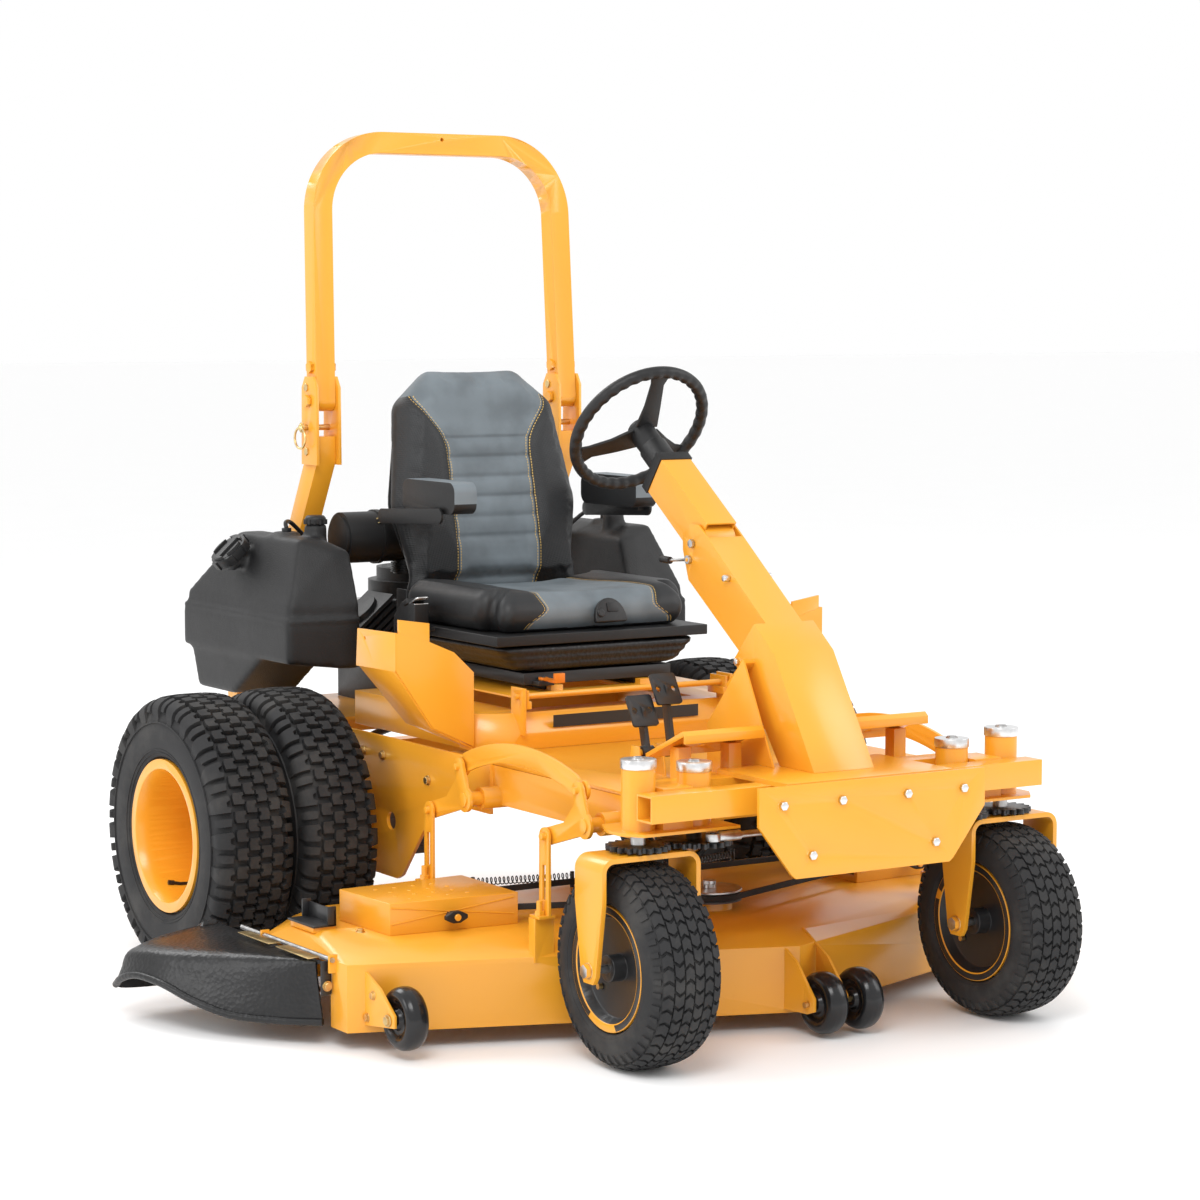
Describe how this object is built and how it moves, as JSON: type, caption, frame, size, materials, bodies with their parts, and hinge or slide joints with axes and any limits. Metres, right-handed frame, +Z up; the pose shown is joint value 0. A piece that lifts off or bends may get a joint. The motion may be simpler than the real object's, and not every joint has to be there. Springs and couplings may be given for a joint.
{
  "type": "zero turn mower",
  "caption": "ride-on zero turn mower with steering wheel, dual rear wheels, steered front casters, folding roll bar, suspension seat and a floating belly deck with side deflector",
  "frame": {"origin": "middle of the machine's bounding box in plan, on the ground", "axes": "+Z up, +X to the operator's left, -Y forward in the direction of travel"},
  "size_m": [1.9784, 2.1405, 1.8482],
  "materials": {
    "yellow_paint": "gloss powder coat",
    "black_paint": "satin powder coat",
    "tyre": "moulded tread",
    "steel": "zinc plated",
    "gold_zinc": "yellow zinc plated",
    "aluminium": "machined caps",
    "cast_metal": "as cast",
    "tank_plastic": "textured",
    "black_plastic": "satin",
    "black_rubber": "moulded",
    "roller_rubber": "polished",
    "vinyl_grey": "fine grain vinyl",
    "belt": "cord faced",
    "orange_plastic": "moulded"
  },
  "bodies": {
    "chassis": {"main_frame": "yellow_paint", "seat_box": "yellow_paint", "floor_pan": "yellow_paint", "fender_panels": "yellow_paint", "fuel_tanks": "tank_plastic", "front_beam": "yellow_paint", "front_plate": "yellow_paint", "column_base": "yellow_paint", "rops_legs": "yellow_paint", "engine": "cast_metal", "air_cleaner": "black_plastic", "hydro_drives": "cast_metal", "chassis_fasteners": "aluminium"},
    "platform": {"seat_platform": "yellow_paint"},
    "slider": {"suspension_base": "black_plastic", "suspension_bellows": "black_rubber"},
    "seat": {"seat_shell": "black_plastic", "seat_cushion": "vinyl_grey"},
    "backrest": {"seat_back": "vinyl_grey"},
    "arm_right": {"armrest_right": "vinyl_grey"},
    "arm_left": {"armrest_left": "vinyl_grey"},
    "slide_lever": {"seat_lever": "orange_plastic"},
    "column": {"column_tube": "yellow_paint"},
    "wheel": {"steering_wheel": "black_rubber"},
    "tilt_handle": {"tilt_lever": "steel"},
    "gear_right": {"drive_gear_right": "black_paint"},
    "gear_left": {"drive_gear_left": "black_paint"},
    "pitman": {"pitman_arm": "black_paint"},
    "tie_rod": {"tie_rods": "steel"},
    "caster_right": {"fork_right": "yellow_paint"},
    "caster_left": {"fork_left": "yellow_paint"},
    "front_wheel_right": {"front_tyre_right": "tyre", "front_rim_right": "yellow_paint"},
    "front_wheel_left": {"front_tyre_left": "tyre", "front_rim_left": "yellow_paint"},
    "rear_wheels_right": {"rear_tyres_right": "tyre", "rear_rims_right": "yellow_paint"},
    "rear_wheels_left": {"rear_tyres_left": "tyre", "rear_rims_left": "yellow_paint"},
    "deck": {"deck_shell": "yellow_paint", "belt_covers": "yellow_paint", "deck_belt": "belt"},
    "deflector": {"chute": "black_rubber"},
    "rear_shaft": {"lift_shaft_rear": "yellow_paint"},
    "front_shaft": {"lift_shaft_front": "yellow_paint"},
    "links": {"drag_links": "yellow_paint"},
    "hangers": {"deck_hangers": "yellow_paint"},
    "cutter_centre": {"blade_centre": "steel"},
    "cutter_right": {"blade_right": "steel"},
    "cutter_left": {"blade_left": "steel"},
    "gauge_right": {"roller_right": "roller_rubber"},
    "gauge_left": {"roller_left": "roller_rubber"},
    "gauge_nose": {"nose_rollers": "roller_rubber"},
    "pedal_f": {"pedal_forward": "black_paint"},
    "pedal_r": {"pedal_reverse": "black_paint"},
    "bar": {"rops_hoop": "yellow_paint"},
    "pin_right": {"rops_pin_right": "gold_zinc"},
    "pin_left": {"rops_pin_left": "gold_zinc"},
    "cap_right": {"fuel_cap_right": "black_plastic"},
    "cap_left": {"fuel_cap_left": "black_plastic"}
  },
  "joints": [
    {"name": "rear_wheel_right", "type": "hinge", "parent": "chassis", "child": "rear_wheels_right", "pos_m": [-0.527, 0.38425, 0.305], "axis": [1, 0, 0], "continuous": true},
    {"name": "rear_wheel_left", "type": "hinge", "parent": "chassis", "child": "rear_wheels_left", "pos_m": [0.793, 0.38425, 0.305], "axis": [1, 0, 0], "continuous": true},
    {"name": "caster_right", "type": "hinge", "parent": "chassis", "child": "caster_right", "pos_m": [-0.31, -0.87175, 0.3], "axis": [0, 0, 1], "range_deg": [-75, 75]},
    {"name": "caster_left", "type": "hinge", "parent": "chassis", "child": "caster_left", "pos_m": [0.576, -0.87175, 0.3], "axis": [0, 0, 1], "range_deg": [-75, 75]},
    {"name": "front_wheel_right", "type": "hinge", "parent": "caster_right", "child": "front_wheel_right", "pos_m": [-0.31, -0.87175, 0.1985], "axis": [1, 0, 0], "continuous": true},
    {"name": "front_wheel_left", "type": "hinge", "parent": "caster_left", "child": "front_wheel_left", "pos_m": [0.576, -0.87175, 0.1985], "axis": [1, 0, 0], "continuous": true},
    {"name": "drive_gear_right", "type": "hinge", "parent": "chassis", "child": "gear_right", "pos_m": [-0.182, -0.87175, 0.5], "axis": [0, 0, 1], "range_deg": [-62, 62]},
    {"name": "drive_gear_left", "type": "hinge", "parent": "chassis", "child": "gear_left", "pos_m": [0.448, -0.87175, 0.5], "axis": [0, 0, 1], "range_deg": [-62, 62]},
    {"name": "pitman", "type": "hinge", "parent": "chassis", "child": "pitman", "pos_m": [0.133, -0.87175, 0.44], "axis": [0, 0, 1], "range_deg": [-62, 62]},
    {"name": "tie_rod", "type": "hinge", "parent": "pitman", "child": "tie_rod", "pos_m": [0.133, -0.93675, 0.44], "axis": [0, 0, 1], "range_deg": [-62, 62]},
    {"name": "column_tilt", "type": "hinge", "parent": "chassis", "child": "column", "pos_m": [0.133, -0.46475, 0.964], "axis": [1, 0, 0], "range_deg": [-10, 8]},
    {"name": "steering", "type": "hinge", "parent": "column", "child": "wheel", "pos_m": [0.133, -0.29575, 1.115], "axis": [0, 0.809, 0.5878], "range_deg": [-290, 290]},
    {"name": "tilt_lever", "type": "hinge", "parent": "chassis", "child": "tilt_handle", "pos_m": [0.0845, -0.45275, 0.93], "axis": [1, 0, 0], "range_deg": [0, 15]},
    {"name": "seat_tip", "type": "hinge", "parent": "chassis", "child": "platform", "pos_m": [0.133, -0.13575, 0.626], "axis": [1, 0, 0], "range_deg": [0, 25]},
    {"name": "seat_slide", "type": "slide", "parent": "platform", "child": "slider", "axis": [0, 1, 0], "range_m": [-0.05, 0.05]},
    {"name": "seat_suspension", "type": "slide", "parent": "slider", "child": "seat", "axis": [0, 0, 1], "range_m": [-0.035, 0.02], "deforming": ["suspension_bellows"]},
    {"name": "recline", "type": "hinge", "parent": "seat", "child": "backrest", "pos_m": [0.133, 0.42425, 0.796], "axis": [-1, 0, 0], "range_deg": [0, 12]},
    {"name": "armrest_right", "type": "hinge", "parent": "backrest", "child": "arm_right", "pos_m": [-0.14, 0.45025, 0.976], "axis": [-1, 0, 0], "range_deg": [0, 25]},
    {"name": "armrest_left", "type": "hinge", "parent": "backrest", "child": "arm_left", "pos_m": [0.406, 0.45025, 0.976], "axis": [-1, 0, 0], "range_deg": [0, 25]},
    {"name": "slide_lever", "type": "hinge", "parent": "slider", "child": "slide_lever", "pos_m": [-0.017, -0.04575, 0.648], "axis": [0, 0, 1], "range_deg": [-15, 15]},
    {"name": "deck_lift", "type": "slide", "parent": "chassis", "child": "deck", "axis": [0, 0, 1], "range_m": [0, 0.11]},
    {"name": "lift_rear", "type": "hinge", "parent": "chassis", "child": "rear_shaft", "pos_m": [0.133, -0.26875, 0.44], "axis": [1, 0, 0], "range_deg": [0, 48.5]},
    {"name": "lift_front", "type": "hinge", "parent": "chassis", "child": "front_shaft", "pos_m": [0.133, -0.73175, 0.45], "axis": [1, 0, 0], "range_deg": [0, 48.5]},
    {"name": "drag_links", "type": "hinge", "parent": "rear_shaft", "child": "links", "pos_m": [0.133, -0.24375, 0.506], "axis": [1, 0, 0], "range_deg": [-48.5, 0]},
    {"name": "hangers", "type": "hinge", "parent": "rear_shaft", "child": "hangers", "pos_m": [0.133, -0.13775, 0.402], "axis": [1, 0, 0], "range_deg": [-48.5, 0]},
    {"name": "deflector", "type": "hinge", "parent": "deck", "child": "deflector", "pos_m": [-0.735, -0.21575, 0.176], "axis": [0, 1, 0], "range_deg": [0, 75]},
    {"name": "blade_centre", "type": "hinge", "parent": "deck", "child": "cutter_centre", "pos_m": [0.133, -0.46575, 0.1], "axis": [0, 0, 1], "continuous": true},
    {"name": "blade_right", "type": "hinge", "parent": "deck", "child": "cutter_right", "pos_m": [-0.417, -0.26575, 0.1], "axis": [0, 0, 1], "continuous": true},
    {"name": "blade_left", "type": "hinge", "parent": "deck", "child": "cutter_left", "pos_m": [0.683, -0.26575, 0.1], "axis": [0, 0, 1], "continuous": true},
    {"name": "roller_right", "type": "hinge", "parent": "deck", "child": "gauge_right", "pos_m": [-0.657, -0.58175, 0.08], "axis": [1, 0, 0], "continuous": true},
    {"name": "roller_left", "type": "hinge", "parent": "deck", "child": "gauge_left", "pos_m": [0.923, -0.58175, 0.08], "axis": [1, 0, 0], "continuous": true},
    {"name": "nose_rollers", "type": "hinge", "parent": "deck", "child": "gauge_nose", "pos_m": [0.183, -0.85875, 0.07], "axis": [1, 0, 0], "continuous": true},
    {"name": "pedal_forward", "type": "hinge", "parent": "chassis", "child": "pedal_f", "pos_m": [-0.107, -0.59075, 0.56], "axis": [1, 0, 0], "range_deg": [0, 20]},
    {"name": "pedal_reverse", "type": "hinge", "parent": "chassis", "child": "pedal_r", "pos_m": [-0.047, -0.59075, 0.56], "axis": [1, 0, 0], "range_deg": [0, 20]},
    {"name": "rollbar_fold", "type": "hinge", "parent": "chassis", "child": "bar", "pos_m": [0.133, 0.64625, 1.231], "axis": [-1, 0, 0], "range_deg": [0, 100]},
    {"name": "lock_pin_right", "type": "slide", "parent": "chassis", "child": "pin_right", "axis": [-1, 0, 0], "range_m": [0, 0.04]},
    {"name": "lock_pin_left", "type": "slide", "parent": "chassis", "child": "pin_left", "axis": [1, 0, 0], "range_m": [0, 0.04]},
    {"name": "fuel_cap_right", "type": "hinge", "parent": "chassis", "child": "cap_right", "pos_m": [-0.379, 0.71425, 0.872], "axis": [-0.6691, 0, 0.7431], "range_deg": [0, 120]},
    {"name": "fuel_cap_left", "type": "hinge", "parent": "chassis", "child": "cap_left", "pos_m": [0.645, 0.71425, 0.872], "axis": [0.6691, 0, 0.7431], "range_deg": [0, 120]}
  ],
  "couplings": [
    {"joint": "caster_left", "follows": "caster_right", "ratio": 1},
    {"joint": "drive_gear_right", "follows": "caster_right", "ratio": -0.81818},
    {"joint": "drive_gear_left", "follows": "caster_right", "ratio": -0.81818},
    {"joint": "pitman", "follows": "caster_right", "ratio": -0.81818},
    {"joint": "tie_rod", "follows": "caster_right", "ratio": 0.81818},
    {"joint": "steering", "follows": "caster_right", "ratio": 3.866},
    {"joint": "lift_rear", "follows": "deck_lift", "rad_per_m": 7.6182},
    {"joint": "lift_front", "follows": "deck_lift", "rad_per_m": 7.6182},
    {"joint": "drag_links", "follows": "deck_lift", "rad_per_m": -7.6182},
    {"joint": "hangers", "follows": "deck_lift", "rad_per_m": -7.6182},
    {"joint": "blade_right", "follows": "blade_centre", "ratio": 1},
    {"joint": "blade_left", "follows": "blade_centre", "ratio": 1}
  ]
}
